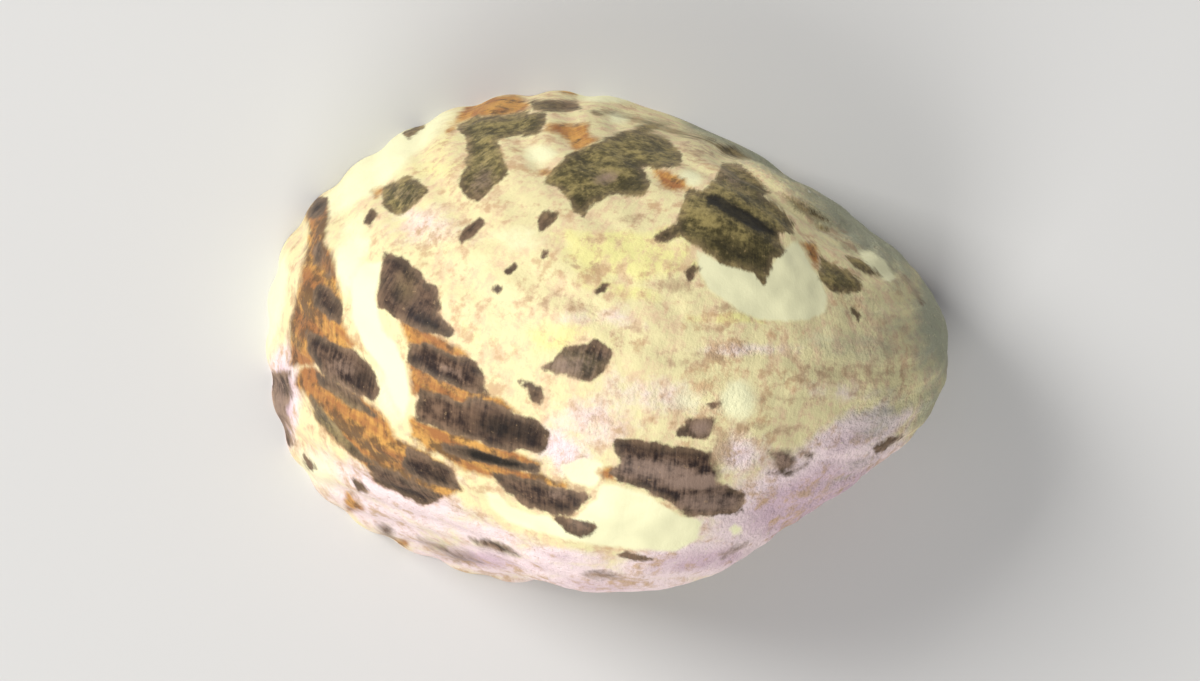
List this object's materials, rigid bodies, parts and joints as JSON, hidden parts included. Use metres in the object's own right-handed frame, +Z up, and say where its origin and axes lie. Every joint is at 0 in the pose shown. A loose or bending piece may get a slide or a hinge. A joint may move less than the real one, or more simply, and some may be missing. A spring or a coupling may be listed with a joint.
{
  "type": "nerite sea snail shell",
  "caption": "Empty low domed sea snail shell with spiral cords and a half covered mouth, resting mouth down as a natural history or decor prop.",
  "frame": {"origin": "middle of the flat underside that the shell rests on", "axes": "+Z up through the dome, +X towards the old rounded end along the shell's length, outer lip towards -X, spire towards +X and +Y"},
  "size_m": [0.027, 0.0198, 0.0139],
  "materials": {
    "shell": "natural shell, chalky satin cream with charcoal brown and rust markings"
  },
  "bodies": {
    "root": {"shell": "shell"}
  },
  "joints": []
}
